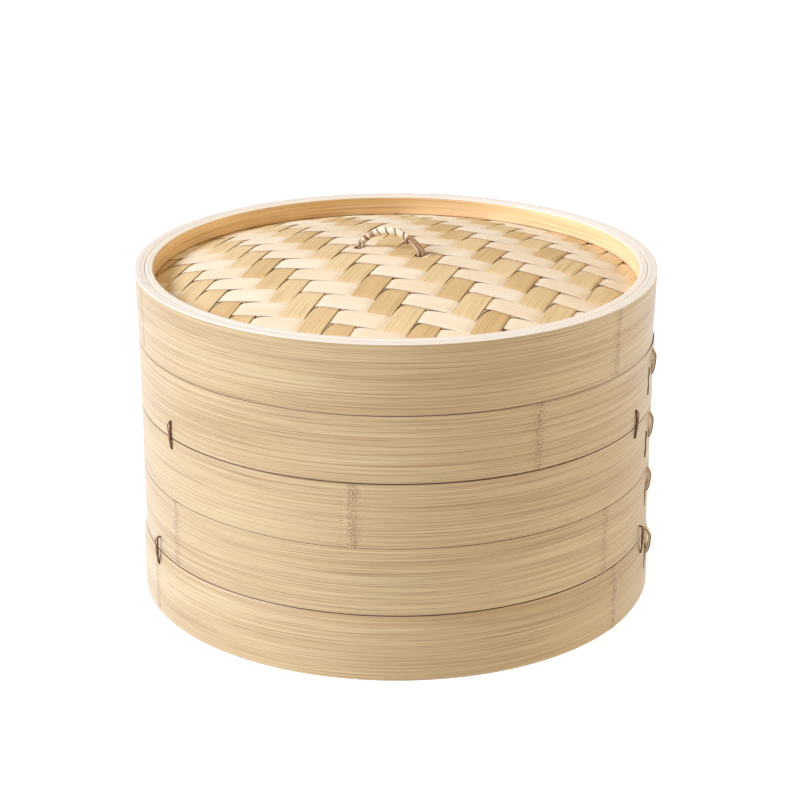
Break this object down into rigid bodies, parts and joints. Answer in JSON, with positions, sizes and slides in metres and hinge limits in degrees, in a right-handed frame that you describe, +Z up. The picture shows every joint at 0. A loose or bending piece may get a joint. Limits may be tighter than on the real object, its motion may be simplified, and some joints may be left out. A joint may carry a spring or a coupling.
{
  "type": "bamboo steamer basket",
  "caption": "Round stacking bamboo steamer: slatted tiers with wound bamboo walls, and a woven domed lid with a small cane loop handle.",
  "frame": {"origin": "centre of the circle that the lower rim stands on, at the bottom of the lower tier", "axes": "+Z up through the middle of the stack, -Y towards the front, +X to the right seen from the front"},
  "size_m": [0.2564, 0.2564, 0.1819],
  "materials": {
    "bamboo_band": "planed bamboo strip, fine lengthwise fibres, matte",
    "bamboo_hoop": "planed bamboo strip, warm and slightly glossy",
    "bamboo_weave": "woven split bamboo, pale and tan strips",
    "bamboo_lining": "woven split bamboo, matte",
    "bamboo_slat": "split bamboo, lengthwise fibres",
    "bamboo_crossbar": "split bamboo, lengthwise fibres",
    "bamboo_pin": "bamboo peg, matte",
    "cane_lacing": "peeled cane, brown, satin",
    "cane_strand": "peeled cane, brown, satin",
    "cane_wrapping": "split cane, satin"
  },
  "bodies": {
    "lower_tier": {"lower_tier_crossbar_back": "bamboo_crossbar", "lower_tier_crossbar_front": "bamboo_crossbar", "lower_tier_lower_band": "bamboo_band", "lower_tier_seam_lacing": "cane_lacing", "lower_tier_slat_01": "bamboo_slat", "lower_tier_slat_02": "bamboo_slat", "lower_tier_slat_03": "bamboo_slat", "lower_tier_slat_04": "bamboo_slat", "lower_tier_slat_05": "bamboo_slat", "lower_tier_slat_06": "bamboo_slat", "lower_tier_slat_07": "bamboo_slat", "lower_tier_slat_08": "bamboo_slat", "lower_tier_slat_09": "bamboo_slat", "lower_tier_slat_10": "bamboo_slat", "lower_tier_slat_11": "bamboo_slat", "lower_tier_slat_pins": "bamboo_pin", "lower_tier_support_ring": "bamboo_hoop", "lower_tier_upper_band": "bamboo_band", "lower_tier_wall": "bamboo_hoop", "lower_tier_wall_ties": "cane_lacing"},
    "upper_tier": {"upper_tier_crossbar_back": "bamboo_crossbar", "upper_tier_crossbar_front": "bamboo_crossbar", "upper_tier_lower_band": "bamboo_band", "upper_tier_seam_lacing": "cane_lacing", "upper_tier_slat_01": "bamboo_slat", "upper_tier_slat_02": "bamboo_slat", "upper_tier_slat_03": "bamboo_slat", "upper_tier_slat_04": "bamboo_slat", "upper_tier_slat_05": "bamboo_slat", "upper_tier_slat_06": "bamboo_slat", "upper_tier_slat_07": "bamboo_slat", "upper_tier_slat_08": "bamboo_slat", "upper_tier_slat_09": "bamboo_slat", "upper_tier_slat_10": "bamboo_slat", "upper_tier_slat_11": "bamboo_slat", "upper_tier_slat_pins": "bamboo_pin", "upper_tier_support_ring": "bamboo_hoop", "upper_tier_upper_band": "bamboo_band", "upper_tier_wall": "bamboo_hoop", "upper_tier_wall_ties": "cane_lacing"},
    "lid": {"lid_band": "bamboo_band", "lid_handle_anchors": "cane_lacing", "lid_inner_weave": "bamboo_lining", "lid_lower_hoop": "bamboo_hoop", "lid_outer_weave": "bamboo_weave", "lid_seam_lacing": "cane_lacing", "lid_upper_hoop": "bamboo_hoop"},
    "handle": {"handle_inner_strand": "cane_strand", "handle_outer_strand": "cane_strand", "handle_wrapping": "cane_wrapping"}
  },
  "joints": [
    {"name": "upper_tier_lift", "type": "slide", "parent": "lower_tier", "child": "upper_tier", "axis": [0, 0, 1], "range_m": [0, 0.05]},
    {"name": "lid_lift", "type": "slide", "parent": "upper_tier", "child": "lid", "axis": [0, 0, 1], "range_m": [0, 0.05]},
    {"name": "handle_swing", "type": "hinge", "parent": "lid", "child": "handle", "pos_m": [-0.00255, -0.001, 0.16535], "axis": [0.8988, -0.4384, 0], "range_deg": [-30, 30]}
  ]
}
